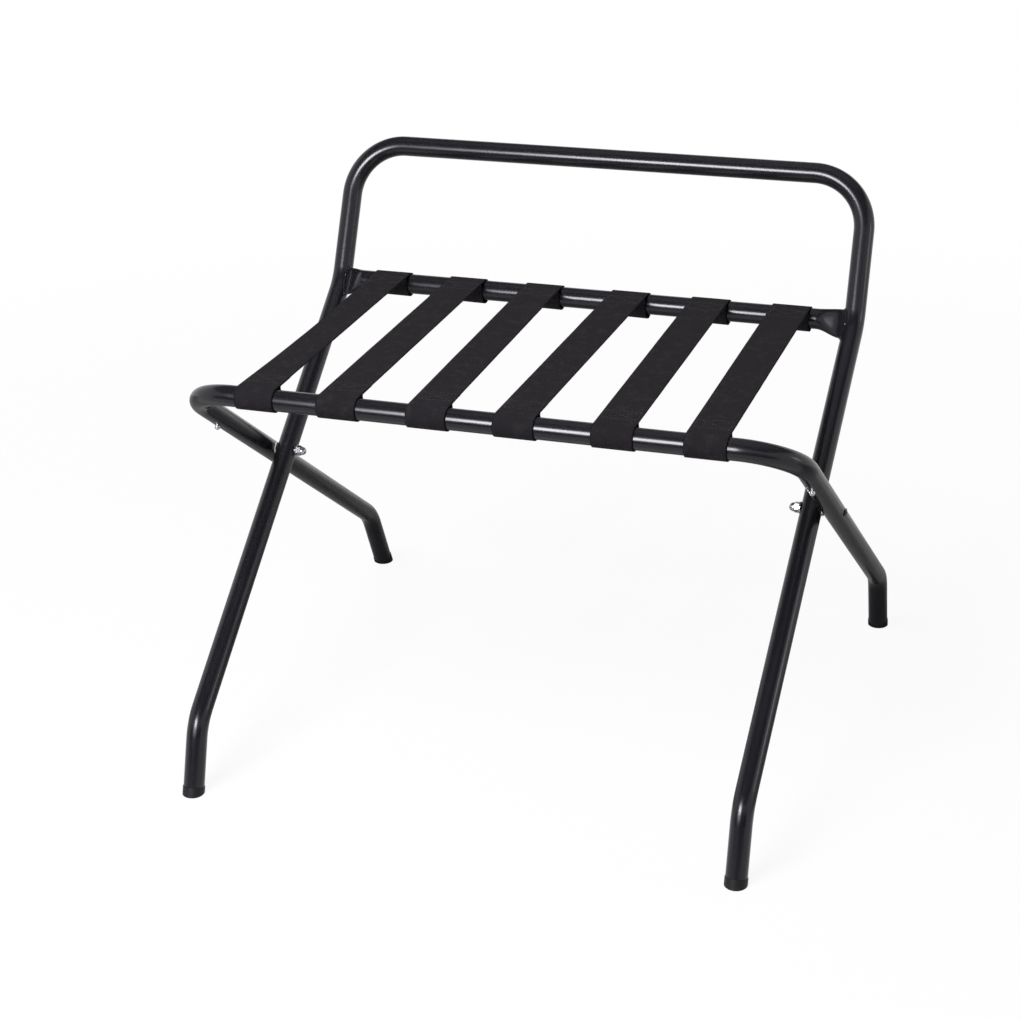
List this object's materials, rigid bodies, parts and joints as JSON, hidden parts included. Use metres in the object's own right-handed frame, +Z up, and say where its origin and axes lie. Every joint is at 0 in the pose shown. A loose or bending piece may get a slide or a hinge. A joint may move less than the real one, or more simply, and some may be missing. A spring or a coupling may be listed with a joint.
{
  "type": "luggage rack",
  "caption": "Folding luggage rack: two crossed bent-tube frames, black webbing seat straps and a raised back bar that keeps a case off the wall.",
  "frame": {"origin": "on the floor, midway between the four feet of the open rack", "axes": "+X to the right seen from the front and along the rails, +Y to the back bar, +Z up"},
  "size_m": [0.668, 0.6177, 0.5757],
  "materials": {
    "paint": "gloss black paint",
    "webbing": "matte woven webbing",
    "cap_rubber": "satin black rubber",
    "zinc": "bright zinc plate",
    "nylon": "natural nylon",
    "bolt": "satin black"
  },
  "bodies": {
    "back_frame": {"back_frame_tube": "paint", "rear_rail": "paint", "front_foot_cap_left": "cap_rubber", "front_foot_cap_right": "cap_rubber", "hinge_bolt_left": "bolt", "hinge_bolt_right": "bolt", "hinge_spacer_left": "nylon", "hinge_spacer_right": "nylon", "hinge_washer_left": "zinc", "hinge_washer_right": "zinc", "cap_nut_left": "zinc", "cap_nut_right": "zinc"},
    "seat_frame": {"seat_frame_tube": "paint", "rear_foot_cap_left": "cap_rubber", "rear_foot_cap_right": "cap_rubber", "leg_rivet_left": "zinc", "leg_rivet_right": "zinc", "strap_1": "webbing", "strap_2": "webbing", "strap_3": "webbing", "strap_4": "webbing", "strap_5": "webbing", "strap_6": "webbing"}
  },
  "joints": [
    {"name": "fold", "type": "hinge", "parent": "back_frame", "child": "seat_frame", "pos_m": [0, -0.00884, 0.2781], "axis": [-1, 0, 0], "range_deg": [0, 95], "deforming": ["strap_1", "strap_2", "strap_3", "strap_4", "strap_5", "strap_6"]}
  ]
}
